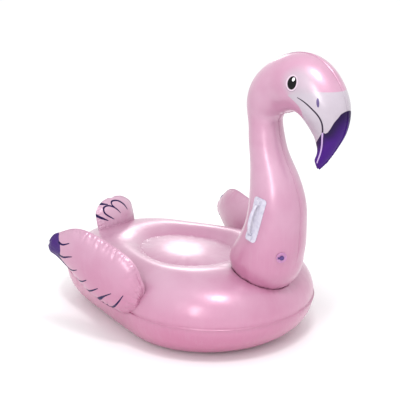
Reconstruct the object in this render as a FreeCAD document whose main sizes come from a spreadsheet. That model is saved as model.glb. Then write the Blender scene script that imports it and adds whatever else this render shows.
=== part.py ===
import FreeCAD, Part
import math
import os

# Inflatable flamingo ride-on float, millimetres.
# Frame: +X towards the beak, +Y to the bird's left, +Z up, floor at z = 0, and the
# origin under the middle of the overall length. Every air chamber is a closed skin of
# welded vinyl panels, and each panel is a thin shell of its own.

os.makedirs("parts", exist_ok=True)
doc = FreeCAD.newDocument("flamingo_float")
Vector = FreeCAD.Vector
UP = Vector(0, 0, 1)
LEFT = Vector(0, 1, 0)
FORWARD = Vector(1, 0, 0)

# ---------------------------------------------------------------- driving dimensions
DIMENSIONS = {
    "shift_x": -54.4,            # brings the middle of the overall length to x = 0
    "wall": 2.0,                 # skin thickness used for every vinyl panel
    "weld_gap": 0.6,             # room between curved skins that are welded face to face
    # body tube: its outline is the hull of a large front circle and a smaller rear one
    "front_radius": 451.0,
    "front_centre": 130.0,
    "rear_radius": 326.0,
    "rear_centre": -381.0,
    "half_height_front": 181.0,
    "half_height_rear": 172.0,
    "floor_flat": 4.0,           # how far the tube settles on the floor
    "seam_height": 170.0,        # where the top and bottom panels are welded
    "well_centre": -18.0,        # well inside the tube, closed by the seat panels
    "well_half_length": 123.0,
    "well_half_width": 138.0,
    # seat
    "seat_centre": -46.0,
    "seat_half_length": 262.0,
    "seat_half_width": 222.0,
    "seat_edge_height": 308.0,
    "seat_dome": 22.0,
    "seat_bottom_height": 72.0,
    # neck and head
    "neck_pivot_x": 433.0,
    "neck_pivot_z": 412.0,
    "neck_base_radius": 158.0,
    "socket_gap": 2.0,           # room between the neck's round base and its socket
    # wings and tail
    "root_clearance": 9.0,       # the wing root stands this far off the body tube
    "hem_thickness": 1.5,        # welded hem left on the body under each root
    "left_wing_pitch": 15.0,     # degrees that the left wing's tip sits lower
    # grab handles
    "patch_length": 190.0,
    "patch_width": 62.0,
    "patch_thickness": 2.0,
    "grip_length": 128.0,
    "grip_height": 26.0,
    "grip_radius": 4.5,
    "pad_length": 18.0,
    "pad_width": 24.0,
    "pad_height": 17.0,
    "pin_radius": 3.0,
    "pin_length": 12.0,
    "pin_clearance": 0.4,
    # air valves
    "flange_radius": 23.0,
    "flange_thickness": 1.6,
    "stem_radius": 5.2,
    "stem_bore": 3.7,
    "stem_length": 24.0,
    "stem_lip_radius": 8.5,
    "stem_lip": 1.2,
    "stem_clearance": 0.5,
    "plug_radius": 10.0,
    "plug_cap": 2.5,
    "plug_peg": 9.0,
    "flap_radius": 4.6,
    "flap_thickness": 0.8,
    "flap_gap": 0.5,
}

sheet = doc.addObject("Spreadsheet::Sheet", "Dimensions")
for row, (alias, value) in enumerate(DIMENSIONS.items(), start=1):
    sheet.set(f"A{row}", alias)
    sheet.set(f"B{row}", str(value))
    sheet.setAlias(f"B{row}", alias)
doc.recompute()


def dim(alias):
    """A driving dimension read back from the sheet."""
    return float(sheet.get(alias))


def bind(obj, **expressions):
    """Bind properties to expressions in which each $name stands for a cell of the sheet."""
    for name, text in expressions.items():
        obj.setExpression(name.replace("__", "."), text.replace("$", "Dimensions."))
    return obj


def boolean(kind, name, base, tool):
    """A Part::Cut or Part::Common of two objects."""
    obj = doc.addObject("Part::" + kind, name)
    obj.Base = base
    obj.Tool = tool
    return obj


def fuse(name, objects):
    """A Part::MultiFuse of several objects."""
    obj = doc.addObject("Part::MultiFuse", name)
    obj.Shapes = objects
    return obj


def frame_of(origin, along, across):
    """A placement whose local X runs along and local Y across."""
    return FreeCAD.Placement(origin, FreeCAD.Rotation(along, across, along.cross(across), "XYZ"))


# ---------------------------------------------------------------- inflated forms
def oval(name, centre, along, across, half_along, half_across, grow):
    """One oval section, with its sizes grown by an expression of the sheet."""
    section = doc.addObject("Part::Ellipse", name)
    if half_along >= half_across:
        section.Placement = frame_of(centre, along, across)
        major, minor = half_along, half_across
    else:
        section.Placement = frame_of(centre, across, along * -1)
        major, minor = half_across, half_along
    bind(section, MajorRadius=f"{major:.3f} + {grow}", MinorRadius=f"{minor:.3f} + {grow}")
    return section


def skin_loft(name, ovals, grow="0"):
    """A Part::Loft through a row of ovals: (centre, along, across, half sizes)."""
    sections = [oval(f"{name}_section_{number}", *row, grow)
                for number, row in enumerate(ovals)]
    loft = doc.addObject("Part::Loft", name)
    loft.Sections = sections
    loft.Solid = True
    loft.Ruled = False
    return loft


FRONT_STEPS = 5                  # sections between the nose and the straight side
REAR_STEPS = 4                   # and from the straight side to the tail end


def outline_points():
    """Points along the left half of the body outline: front arc, side, rear arc."""
    front, rear = dim("front_radius"), dim("rear_radius")
    front_x, rear_x = dim("front_centre"), dim("rear_centre")
    tangent = math.acos(-(front - rear) / (front_x - rear_x))
    half = []
    for step in range(FRONT_STEPS + 1):
        angle = tangent * step / FRONT_STEPS
        half.append(Vector(front_x + front * math.cos(angle), front * math.sin(angle), 0))
    side_start = half[-1]
    side_end = Vector(rear_x + rear * math.cos(tangent), rear * math.sin(tangent), 0)
    for part in (1 / 3, 2 / 3):
        half.append(side_start + (side_end - side_start) * part)
    for step in range(REAR_STEPS + 1):
        angle = tangent + (math.pi - tangent) * step / REAR_STEPS
        half.append(Vector(rear_x + rear * math.cos(angle), rear * math.sin(angle), 0))
    return half


def body_section(outer):
    """The tube's section at one outline point: centre, outward direction, half sizes."""
    well = Vector(dim("well_centre"), 0, 0)
    away = outer - well
    away.normalize()
    reach = 1 / math.hypot(away.x / dim("well_half_length"), away.y / dim("well_half_width"))
    inner = well + away * reach
    centre = (outer + inner) * 0.5
    rear_end = dim("rear_centre") - dim("rear_radius") / 2
    front_end = dim("front_centre") + dim("front_radius") / 2
    part = min(1, max(0, (centre.x - rear_end) / (front_end - rear_end)))
    rise = dim("half_height_front") - dim("half_height_rear")
    half_height = dim("half_height_rear") + rise * part
    centre.z = half_height - dim("floor_flat")
    return centre, away, UP, (outer - inner).Length / 2, half_height


BODY_OVALS = [body_section(outer) for outer in outline_points()]


def half_tube(name, grow="0"):
    """The left half of the body tube, grown or shrunk all round."""
    return skin_loft(name, BODY_OVALS, grow)


# Neck and head, from the pivot up over the crown and down to the tip of the beak:
# x, z, half depth, half width and the direction of the centre line in degrees.
NECK_STATIONS = [
    (433, 412, 158, 158, 90), (444, 458, 160, 153, 97), (466, 533, 145, 137, 102),
    (482, 616, 129, 123, 102), (477, 698, 115, 112, 102), (459, 780, 98, 96, 101),
    (435, 859, 81, 81, 100), (419, 935, 75, 74, 99), (413, 999, 73, 72, 97),
    (418, 1056, 85, 84, 73), (445, 1108, 99, 93, 47), (504, 1152, 111, 99, 15),
    (581, 1172, 125, 110, -15), (644, 1155, 121, 105, -35), (691, 1115, 110, 96, -53),
    (719, 1070, 100, 85, -65), (733, 1022, 85, 68, -73), (735, 979, 66, 53, -80),
    (728, 939, 48, 38, -83), (711, 897, 33, 27, -89), (692, 864, 22, 18, -94),
    (687, 845, 7, 6, -98),
]


def neck_skin(name, grow="0", inset=0):
    """The neck and head as one loft over a round base, its tip drawn in by inset."""
    ovals = []
    for x, z, half_depth, half_width, lean in NECK_STATIONS:
        angle = math.radians(lean)
        across = Vector(-math.sin(angle), 0, math.cos(angle))
        ovals.append([Vector(x, 0, z), across, LEFT, half_depth, half_width])
    ovals[-1][0] = ovals[-1][0] + UP * inset
    return skin_loft(name, ovals, grow)


# Left wing, from its root outwards: distance along, rise, lift off the root plane, and
# the half height and half thickness of the pillow there.
WING_ROOT = Vector(56, 391, 242)
WING_AXIS = Vector(-0.879, 0.347, 0.327)
WING_FACE = Vector(0.271, 0.958, -0.089)
WING_STATIONS = [
    (-30, 12, 50, 36, 14), (-12, 16, 50, 80, 30), (20, 26, 49, 112, 42),
    (70, 38, 45, 133, 50), (140, 44, 37, 140, 54), (220, 54, 30, 136, 54),
    (300, 74, 27, 116, 48), (370, 78, 27, 84, 36), (420, 66, 29, 52, 22),
    (444, 56, 30, 26, 10),
]
# the two panels meet in a plane that starts this far off the root plane and closes in
WING_SPLIT = 50
WING_SPLIT_SLOPE = -0.085
# Tail, from the crest upwards: distance, half width and half thickness.
TAIL_ROOT = Vector(-502, 0, 318)
TAIL_LEAN = 14
TAIL_STATIONS = [(-20, 108, 20), (30, 114, 34), (75, 115, 36), (110, 104, 28),
                 (133, 74, 16), (144, 42, 7)]


def wing_directions(pitch):
    """Unit directions of a wing whose tip sits lower by some degrees: out, up, off its face."""
    axis = FreeCAD.Rotation(WING_FACE, -pitch).multVec(WING_AXIS)
    axis.normalize()
    rise = WING_FACE.cross(axis)
    rise.normalize()
    return axis, rise, axis.cross(rise)


def wing_skin(name, pitch, grow="0", inset=0):
    """A wing on the left side as one loft, its ends drawn in by inset."""
    axis, rise, face = wing_directions(pitch)
    ovals = []
    for along, lift, off, half_height, half_thickness in WING_STATIONS:
        centre = WING_ROOT + axis * along + rise * lift + face * off
        ovals.append([centre, rise, face, half_height, half_thickness])
    ovals[0][0] = ovals[0][0] + axis * inset
    ovals[-1][0] = ovals[-1][0] - axis * inset
    return skin_loft(name, ovals, grow)


def tail_directions():
    """The tail's unit directions: up along it and forwards off its face."""
    lean = math.radians(TAIL_LEAN)
    return Vector(-math.sin(lean), 0, math.cos(lean)), Vector(math.cos(lean), 0, math.sin(lean))


def tail_skin(name, grow="0", inset=0):
    """The tail fan as one loft, its top drawn in by inset."""
    axis, face = tail_directions()
    ovals = [[TAIL_ROOT + axis * along, LEFT, face, half_width, half_thickness]
             for along, half_width, half_thickness in TAIL_STATIONS]
    ovals[-1][0] = ovals[-1][0] - axis * inset
    return skin_loft(name, ovals, grow)


# ---------------------------------------------------------------- tools for splitting
FAR = 3200


def half_space(name, origin, along, across):
    """Everything on the local Z side of a plane, as a large box."""
    box = doc.addObject("Part::Box", name)
    box.Length = box.Width = box.Height = FAR
    corner = FreeCAD.Placement(Vector(-FAR / 2, -FAR / 2, 0), FreeCAD.Rotation())
    box.Placement = frame_of(origin, along, across).multiply(corner)
    return box


LEFT_SIDE = half_space("left_side", Vector(0, 0, 0), UP, FORWARD)


def mirrored(name, source):
    """A mirror image across the float's middle plane."""
    mirror = doc.addObject("Part::Mirroring", name)
    mirror.Source = source
    mirror.Normal = LEFT
    return mirror


def whole(name, left_half):
    """Both sides of a skin of which the left half is given."""
    return fuse(name, [left_half, mirrored(name + "_mirror", left_half)])


def ball(name, radius):
    """A sphere about the neck's pivot."""
    sphere = doc.addObject("Part::Sphere", name)
    return bind(sphere, Radius=radius, Placement__Base__x="$neck_pivot_x",
                Placement__Base__z="$neck_pivot_z")


# ---------------------------------------------------------------- body chamber
def build_body():
    """Top and bottom panels, and the cup that the neck's round base rests in."""
    below_floor = half_space("below_floor", Vector(0, 0, 0), LEFT, FORWARD)
    below_skin = half_space("below_skin", Vector(0, 0, 0), LEFT, FORWARD)
    bind(below_skin, Placement__Base__z="$wall")
    above_seam = half_space("above_seam", Vector(0, 0, 0), FORWARD, LEFT)
    bind(above_seam, Placement__Base__z="$seam_height")
    settled = boolean("Cut", "body_settled", half_tube("body_outer"), below_floor)
    hollow = boolean("Cut", "body_hollow", half_tube("body_inner", "-$wall"), below_skin)
    shell = boolean("Cut", "body_shell", settled, hollow)
    upper = boolean("Common", "body_upper", shell, above_seam)
    lower = boolean("Cut", "body_lower", shell, above_seam)
    opening = ball("socket_opening", "$neck_base_radius + $socket_gap + $wall + $weld_gap")
    cup_outer = ball("socket_outer", "$neck_base_radius + $socket_gap + $wall")
    cup_inner = ball("socket_inner", "$neck_base_radius + $socket_gap")
    cup = boolean("Cut", "socket_cup", cup_outer, cup_inner)
    socket = boolean("Common", "socket_trimmed", cup, settled)
    upper_open = boolean("Cut", "body_upper_open", upper, opening)
    return (whole("body_top", upper_open), whole("body_bottom", lower),
            whole("neck_socket", socket))


SEAT_PROFILE = [(1.0, 0.0), (0.93, 0.2), (0.78, 0.53), (0.55, 0.83), (0.28, 0.97), (0.03, 1.0)]


def build_seat_sheet(name, edge_height, direction, clear):
    """A domed sheet that closes the well, trimmed where it meets the tube."""
    domes = []
    for lift in (0, -direction * dim("wall")):
        ovals = []
        for share_out, share_up in SEAT_PROFILE:
            height = edge_height + direction * dim("seat_dome") * share_up + lift
            ovals.append((Vector(dim("seat_centre"), 0, height), FORWARD, LEFT,
                          dim("seat_half_length") * share_out,
                          dim("seat_half_width") * share_out))
        domes.append(skin_loft(f"{name}_dome_{len(domes)}", ovals))
    skin = boolean("Cut", name + "_skin", domes[0], domes[1])
    half = boolean("Common", name + "_half", skin, LEFT_SIDE)
    return whole(name, boolean("Cut", name + "_trimmed", half, clear))


# ---------------------------------------------------------------- neck chamber
def build_neck(outer):
    """Left and right neck panels and the round base panel below them."""
    shell = boolean("Cut", "neck_shell", outer, neck_skin("neck_inner", "-$wall", dim("wall")))
    right = boolean("Cut", "neck_right", shell, LEFT_SIDE)
    left = mirrored("neck_left", right)
    base_outer = ball("base_outer", "$neck_base_radius")
    base_inner = ball("base_inner", "$neck_base_radius - $wall")
    for sphere in (base_outer, base_inner):
        sphere.Angle2 = 0
    return left, right, boolean("Cut", "neck_base", base_outer, base_inner)


# ---------------------------------------------------------------- wings and tail
def pillow(name, outer, inner, clear, deeper, split):
    """A rooted pillow: trimmed off the body, hollowed, and split into two panels."""
    trimmed = boolean("Cut", name + "_trimmed", outer, clear)
    hollow = boolean("Cut", name + "_hollow", inner, deeper)
    shell = boolean("Cut", name + "_shell", trimmed, hollow)
    return (boolean("Common", name + "_outer_half", shell, split),
            boolean("Cut", name + "_inner_half", shell, split))


def build_wing(name, pitch, clear, deeper, hem_layer):
    """Outer and inner panels of a wing on the left side, and the hem under its root."""
    axis, rise, face = wing_directions(pitch)
    split = half_space(name + "_split", WING_ROOT + face * WING_SPLIT,
                       axis + face * WING_SPLIT_SLOPE, rise)
    outer = wing_skin(name + "_skin", pitch)
    inner = wing_skin(name + "_lining", pitch, "-$wall", dim("wall"))
    panels = pillow(name, outer, inner, clear, deeper, split)
    return (*panels, boolean("Common", name + "_hem", outer, hem_layer))


def build_tail(clear, deeper, hem_layer):
    """Front and rear panels of the tail, and the hem under its root."""
    axis, face = tail_directions()
    split = half_space("tail_split", TAIL_ROOT, axis, LEFT * -1)
    outer = tail_skin("tail_skin")
    front, rear = pillow("tail", outer, tail_skin("tail_lining", "-$wall", dim("wall")),
                         whole("root_clear_both", clear), whole("root_deeper_both", deeper),
                         split)
    return front, rear, boolean("Common", "tail_hem", outer, whole("hem_both", hem_layer))


# ---------------------------------------------------------------- grab handles
HANDLE_START = Vector(480, 0, 607)       # on the neck's centre line, level with the patch
HANDLE_OUT = Vector(-0.09, -1, 0)
HANDLE_ALONG = Vector(0.178, 0.136, 0.975)
GRIP_ANGLES = (0, 18, 40, 65, 90, 115, 140, 162, 180)
GRIP_AXIS_HEIGHT = 10.0
GRIP_WAIST = 0.85                        # loop width at its feet, as a share of its radius
GRIP_SWELL = 1.0                         # and how much wider it is at the top
GRIP_FLATNESS = 0.8
PAD_START = 5.0                          # pads begin this far beyond the grip's feet
PAD_SINK = 6.0                           # pad blocks start below the skin and are cut back
PATCH_CORNER = 14.0
WINDOW_DEPTH = 20.0                      # how far the patch's cutter reaches into the neck
BORE_END = 3.0                           # room beyond the end of a pin
BORE_START = 1.0                         # and before the pad's face


def on_skin(skin, start, direction):
    """Where a ray from inside a skin leaves it, and the outward normal there."""
    ray = Part.makeLine(start, start + direction * FAR / 4)
    hits = [vertex.Point for vertex in skin.Shape.section(ray).Vertexes]
    point = max(hits, key=lambda hit: hit.distanceToPoint(start))
    face = min(skin.Shape.Faces, key=lambda one: one.distToShape(Part.Vertex(point))[0])
    normal = face.normalAt(*face.Surface.parameter(point))
    if normal.dot(direction) < 0:
        normal = normal * -1
    return point, normal


def placed(kind, name, frame, offset, turn=None, **sizes):
    """A primitive set in a local frame at an offset, with sizes bound to the sheet."""
    obj = doc.addObject("Part::" + kind, name)
    bind(obj, **sizes)
    obj.Placement = frame.multiply(FreeCAD.Placement(offset, turn or FreeCAD.Rotation()))
    return obj


def handle_frame(neck):
    """Local frame of the right handle: X along the patch, Z out of the neck."""
    point, normal = on_skin(neck, HANDLE_START, HANDLE_OUT)
    across = normal.cross(HANDLE_ALONG)
    across.normalize()
    along = across.cross(normal)
    return frame_of(point, along, across)


def build_handle(neck):
    """The right grab handle: welded patch with two end pads, and the loop between them."""
    frame = handle_frame(neck)
    to_x = FreeCAD.Rotation(LEFT, 90)
    layer = boolean("Cut", "patch_layer",
                    neck_skin("patch_top", "$weld_gap + $patch_thickness"),
                    neck_skin("patch_bottom", "$weld_gap"))
    window = placed("Box", "patch_window", frame,
                    Vector(-dim("patch_length") / 2, -dim("patch_width") / 2, -WINDOW_DEPTH),
                    Length="$patch_length", Width="$patch_width",
                    Height=f"{3 * WINDOW_DEPTH}")
    corners = doc.addObject("Part::Fillet", "patch_corners")
    corners.Base = window
    doc.recompute()
    normal = frame.Rotation.multVec(UP)
    upright = [number for number, edge in enumerate(window.Shape.Edges, start=1)
               if abs(edge.tangentAt(edge.FirstParameter).dot(normal)) > 0.99]
    corners.Edges = [(number, PATCH_CORNER, PATCH_CORNER) for number in upright]
    plate = boolean("Common", "patch_plate", layer, corners)
    solids = [plate]
    half = dim("grip_length") / 2
    neck_clear = neck_skin("pad_clear", "$weld_gap")
    for side, tag in ((-1, "lower"), (1, "upper")):
        near = half + PAD_START
        left_end = near if side > 0 else -near - dim("pad_length")
        block = placed("Box", f"pad_{tag}_block", frame,
                       Vector(left_end, -dim("pad_width") / 2, -PAD_SINK),
                       Length="$pad_length", Width="$pad_width",
                       Height=f"$pad_height + {PAD_SINK}")
        bore_depth = dim("pin_length") + BORE_END
        bore_start = near - BORE_START if side > 0 else -near + BORE_START - bore_depth
        bore = placed("Cylinder", f"pad_{tag}_bore", frame,
                      Vector(bore_start, 0, GRIP_AXIS_HEIGHT), to_x,
                      Radius="$pin_radius + $pin_clearance",
                      Height=f"$pin_length + {BORE_END}")
        drilled = boolean("Cut", f"pad_{tag}_drilled", block, bore)
        solids.append(boolean("Cut", f"pad_{tag}", drilled, neck_clear))
    patch = fuse("handle_patch", solids)

    arch = []
    for degrees in GRIP_ANGLES:
        angle = math.radians(degrees)
        spot = Vector(-half * math.cos(angle), 0,
                      GRIP_AXIS_HEIGHT + (dim("grip_height") - dim("grip_radius"))
                      * math.sin(angle))
        run = Vector(half * math.sin(angle), 0, dim("grip_height") * math.cos(angle))
        run.normalize()
        width = dim("grip_radius") * (GRIP_WAIST + GRIP_SWELL * math.sin(angle))
        centre = frame.multVec(spot)
        width_way = frame.Rotation.multVec(LEFT)
        thick_way = frame.Rotation.multVec(run.cross(LEFT))
        arch.append((centre, width_way, thick_way, width,
                     dim("grip_radius") * GRIP_FLATNESS))
    grip = [skin_loft("grip_arch", arch)]
    for side, tag in ((-1, "lower"), (1, "upper")):
        grip.append(placed("Sphere", f"grip_{tag}_knuckle", frame,
                           Vector(side * half, 0, GRIP_AXIS_HEIGHT),
                           Radius="$grip_radius"))
        reach = PAD_START + dim("pin_length")
        start = half if side > 0 else -half - reach
        grip.append(placed("Cylinder", f"grip_{tag}_pin", frame,
                           Vector(start, 0, GRIP_AXIS_HEIGHT), to_x,
                           Radius="$pin_radius", Height=f"$pin_length + {PAD_START}"))
    return patch, fuse("handle_loop", grip)


# ---------------------------------------------------------------- air valves
VALVE_GAP = 0.4                          # room between flange, stem lip and plug cap
PEG_CLEARANCE = 0.3
TAB_LENGTH = 9.0
TAB_WIDTH = 8.0
TAB_THICKNESS = 1.6
TAB_OVERLAP = 2.0
CUTTER_REACH = 20.0
BORE_REACH = 5.0


def valve_frame(skin, start, direction):
    """Local frame of a valve: origin on the skin, Z pointing out of the chamber."""
    point, normal = on_skin(skin, start, direction)
    across = normal.cross(UP if abs(normal.z) < 0.9 else FORWARD)
    across.normalize()
    return frame_of(point, across, normal.cross(across))


def build_valve(name, frame):
    """A push-in valve: welded flange, stem, check flap and plug, and its hole's cutter."""
    lip_at = dim("weld_gap") + dim("flange_thickness") + VALVE_GAP
    hole = placed("Cylinder", name + "_hole", frame, UP * -CUTTER_REACH,
                  Radius="$stem_radius + $stem_clearance", Height=f"{2 * CUTTER_REACH}")
    disc = placed("Cylinder", name + "_disc", frame, UP * dim("weld_gap"),
                  Radius="$flange_radius", Height="$flange_thickness")
    flange = boolean("Cut", name + "_flange", disc, hole)
    tube_low = lip_at + dim("stem_lip") - dim("stem_length")
    tube = placed("Cylinder", name + "_tube", frame, UP * tube_low,
                  Radius="$stem_radius", Height="$stem_length")
    lip = placed("Cylinder", name + "_lip", frame, UP * lip_at,
                 Radius="$stem_lip_radius", Height="$stem_lip")
    bore = placed("Cylinder", name + "_bore", frame, UP * (tube_low - BORE_REACH),
                  Radius="$stem_bore", Height=f"$stem_length + {2 * BORE_REACH}")
    stem = boolean("Cut", name + "_stem", fuse(name + "_stem_blank", [tube, lip]), bore)
    cap_at = lip_at + dim("stem_lip") + VALVE_GAP
    cap = placed("Cylinder", name + "_cap", frame, UP * cap_at,
                 Radius="$plug_radius", Height="$plug_cap")
    peg = placed("Cylinder", name + "_peg", frame, UP * (cap_at - dim("plug_peg")),
                 Radius=f"$stem_bore - {PEG_CLEARANCE}", Height="$plug_peg + $plug_cap / 2")
    tab = placed("Box", name + "_tab", frame,
                 Vector(dim("plug_radius") - TAB_OVERLAP, -TAB_WIDTH / 2, cap_at),
                 Length=f"{TAB_LENGTH}", Width=f"{TAB_WIDTH}", Height=f"{TAB_THICKNESS}")
    plug = fuse(name + "_plug", [cap, peg, tab])
    flap_at = tube_low - dim("flap_gap") - dim("flap_thickness")
    flap = placed("Cylinder", name + "_flap", frame, UP * flap_at,
                  Radius="$flap_radius", Height="$flap_thickness")
    return hole, {"flange": flange, "stem": stem, "plug": plug, "flap": flap}


# ---------------------------------------------------------------- the sub-parts
PARTS = {}


def keep(label, obj, moved=False):
    """Label a sub-part and shift it into the part's frame, unless its source moved it."""
    obj.Label = label
    if not moved:
        bind(obj, Placement__Base__x=f"{obj.Placement.Base.x} + $shift_x")
    PARTS[label] = obj
    return obj


def main():
    """Build every sub-part, label it and write it."""
    body_top, body_bottom, socket = build_body()
    clear = half_tube("weld_clear", "$weld_gap")
    seat_top = build_seat_sheet("seat_top", dim("seat_edge_height"), 1, clear)
    seat_bottom = build_seat_sheet("seat_bottom", dim("seat_bottom_height"), -1, clear)
    neck_outer = neck_skin("neck_outer")
    neck_left, neck_right, neck_base = build_neck(neck_outer)

    root_clear = half_tube("root_clear", "$root_clearance")
    root_deeper = half_tube("root_deeper", "$root_clearance + $wall")
    hem_layer = boolean("Cut", "hem_layer",
                        half_tube("hem_top", "$weld_gap + $hem_thickness"), clear)
    left_wing = build_wing("left_wing", dim("left_wing_pitch"), root_clear, root_deeper,
                           hem_layer)
    right_wing = build_wing("right_wing", 0, root_clear, root_deeper, hem_layer)
    tail_front, tail_rear, tail_hem = build_tail(root_clear, root_deeper, hem_layer)
    doc.recompute()

    patch, loop = build_handle(neck_outer)
    valves = {
        "neck_valve": valve_frame(neck_outer, Vector(450, 0, 457), Vector(0.836, -0.548, 0)),
        "body_valve": valve_frame(doc.getObject("body_outer"), Vector(-290, 195, 170),
                                  Vector(-0.45, 0.5, 0.74)),
        "seat_valve": valve_frame(seat_bottom, Vector(-46, 60, 60), UP * -1),
    }
    holes = {}
    for name, frame in valves.items():
        holes[name], pieces = build_valve(name, frame)
        for piece, obj in pieces.items():
            keep(f"{name}_{piece}", obj)

    keep("body_top_panel", boolean("Cut", "body_top_holed", body_top, holes["body_valve"]))
    keep("body_bottom_panel", body_bottom)
    keep("neck_socket_panel", socket)
    keep("seat_top_panel", seat_top)
    keep("seat_bottom_panel",
         boolean("Cut", "seat_bottom_holed", seat_bottom, holes["seat_valve"]))
    keep("neck_left_panel", neck_left)
    keep("neck_right_panel",
         boolean("Cut", "neck_right_holed", neck_right, holes["neck_valve"]))
    keep("neck_base_panel", neck_base)
    for piece, obj in zip(("outer_panel", "inner_panel", "root_hem"), left_wing):
        keep(f"wing_left_{piece}", obj)
    for piece, obj in zip(("outer_panel", "inner_panel", "root_hem"), right_wing):
        keep(f"wing_right_{piece}", mirrored(f"wing_right_{piece}", obj))
    keep("tail_front_panel", tail_front)
    keep("tail_rear_panel", tail_rear)
    keep("tail_root_hem", tail_hem)
    keep("handle_right_patch", patch)
    keep("handle_right_loop", loop)
    keep("handle_left_patch", mirrored("handle_left_patch", patch), moved=True)
    keep("handle_left_loop", mirrored("handle_left_loop", loop), moved=True)
    doc.recompute()
    check_and_write()


def check_and_write():
    """Refuse failed objects and empty or invalid shapes, then write the sub-parts."""
    for obj in doc.Objects:
        if {"Invalid", "Error"} & set(obj.State):
            raise RuntimeError(f"{obj.Name} failed: {obj.State}")
    for label, obj in PARTS.items():
        shape = obj.Shape
        if shape.isNull() or not shape.isValid() or not shape.Solids:
            raise RuntimeError(f"{label} has no valid solid")
        if obj.Label != label:
            raise RuntimeError(f"{label} is not a free label: {obj.Label}")
    for label, obj in PARTS.items():
        print(f"{label}: {len(obj.Shape.Solids)} solid, {obj.Shape.Volume:.0f} mm3")
        obj.Shape.exportStep(f"parts/{label}.step")


main()
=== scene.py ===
import math

import bmesh
import bpy
import numpy as np
from mathutils import Matrix, Vector


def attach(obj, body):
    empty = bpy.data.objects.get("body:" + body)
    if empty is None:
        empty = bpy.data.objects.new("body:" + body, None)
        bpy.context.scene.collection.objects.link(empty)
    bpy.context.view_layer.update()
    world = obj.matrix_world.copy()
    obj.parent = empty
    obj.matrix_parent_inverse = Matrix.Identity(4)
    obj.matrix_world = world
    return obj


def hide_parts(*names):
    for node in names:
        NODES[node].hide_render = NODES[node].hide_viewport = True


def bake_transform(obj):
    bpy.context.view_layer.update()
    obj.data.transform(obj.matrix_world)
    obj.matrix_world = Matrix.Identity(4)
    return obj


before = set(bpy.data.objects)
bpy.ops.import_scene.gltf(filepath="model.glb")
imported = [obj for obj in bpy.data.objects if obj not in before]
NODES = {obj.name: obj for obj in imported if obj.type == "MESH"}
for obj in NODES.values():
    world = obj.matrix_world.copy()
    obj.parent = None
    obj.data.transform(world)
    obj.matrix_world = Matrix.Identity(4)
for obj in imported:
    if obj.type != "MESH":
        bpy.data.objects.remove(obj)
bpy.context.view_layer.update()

# Forms are worked out in millimetres in the part's own frame, before the shift that
# brings the middle of the overall length to x = 0, and are metres in the row frame
# from make_mesh on.
MM = 0.001
SHIFT_X = -54.4
UP = np.array((0.0, 0.0, 1.0))
LEFT = np.array((0.0, 1.0, 0.0))
ROUND = 2 * math.pi
BLOCK = 4000  # points compared with a line in one go


# ---------------------------------------------------------------- curves and meshes
def to_row(points):
    return (np.asarray(points, float) + (SHIFT_X, 0, 0)) * MM


def to_part(points):
    return np.asarray(points, float) / MM - (SHIFT_X, 0, 0)


def unit(vectors):
    vectors = np.asarray(vectors, float)
    return vectors / np.maximum(np.linalg.norm(vectors, axis=-1, keepdims=True), 1e-12)


def smoothstep(low, high, value):
    share = np.clip((np.asarray(value, float) - low) / (high - low), 0, 1)
    return share * share * (3 - 2 * share)


def running_length(line):
    """Length along a row of points, from 0 at the first one."""
    return np.concatenate([[0], np.cumsum(np.linalg.norm(np.diff(line, axis=0), axis=1))])


def spline(table, places):
    """A natural cubic spline through the rows of a table, at shares of its length."""
    table = np.asarray(table, float)
    knots = running_length(table[:, :2])
    gaps = np.diff(knots)
    count = len(knots)
    system = np.eye(count)
    bends = np.zeros_like(table)
    for k in range(1, count - 1):
        system[k, k - 1:k + 2] = gaps[k - 1], 2 * (gaps[k - 1] + gaps[k]), gaps[k]
        step_in, step_out = table[k] - table[k - 1], table[k + 1] - table[k]
        bends[k] = 6 * (step_out / gaps[k] - step_in / gaps[k - 1])
    second = np.linalg.solve(system, bends)
    at = np.asarray(places, float) * knots[-1]
    k = np.clip(np.searchsorted(knots, at, side="right") - 1, 0, count - 2)
    gap = gaps[k][:, None]
    after = (at - knots[k])[:, None]
    before = gap - after
    return ((second[k] * before ** 3 + second[k + 1] * after ** 3) / (6 * gap)
            + (table[k] / gap - second[k] * gap / 6) * before
            + (table[k + 1] / gap - second[k + 1] * gap / 6) * after)


def nearest(points, line):
    """For each point, the distance to a densely sampled line and the length along it."""
    length = running_length(line)
    along, away = np.empty(len(points)), np.empty(len(points))
    for start in range(0, len(points), BLOCK):
        block = points[start:start + BLOCK]
        gaps = ((block[:, None, :] - line[None, :, :]) ** 2).sum(-1)
        best = gaps.argmin(1)
        along[start:start + BLOCK] = length[best]
        away[start:start + BLOCK] = np.sqrt(gaps[np.arange(len(block)), best])
    return along, away


def puckers(along, away, length, pitch, depth, reach, seed, loop=False):
    """Depth of the wrinkles that run away from a weld, of mixed size and slant."""
    chance = np.random.default_rng(seed)
    count = max(3, int(length / pitch))
    middles = (np.arange(count) + 0.5 + chance.uniform(-0.3, 0.3, count)) * length / count
    widths = chance.uniform(0.18, 0.42, count) * pitch
    depths = depth * chance.uniform(0.25, 1.0, count) ** 1.2
    reaches = reach * chance.uniform(0.35, 1.25, count)
    slants = chance.uniform(-0.35, 0.35, count)
    total = np.zeros(len(along))
    for middle, width, deep, far, slant in zip(middles, widths, depths, reaches, slants):
        side = along + slant * away - middle
        if loop:
            side = (side + length / 2) % length - length / 2
        spread = width * (1 + away / far * 0.6)
        total += deep * np.exp(-(side / spread) ** 2) * np.exp(-(away / far) ** 1.6)
    return total


def grid_faces(rows, columns, loop_rows=False):
    """Quads of a grid that is closed across, and also along its rows if loop_rows is true."""
    row = np.arange(rows if loop_rows else rows - 1)
    r, c = np.meshgrid(row, np.arange(columns), indexing="ij")
    r2, c2 = (r + 1) % rows, (c + 1) % columns
    corners = [r * columns + c, r2 * columns + c, r2 * columns + c2, r * columns + c2]
    return np.stack(corners, -1).reshape(-1, 4)


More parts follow.
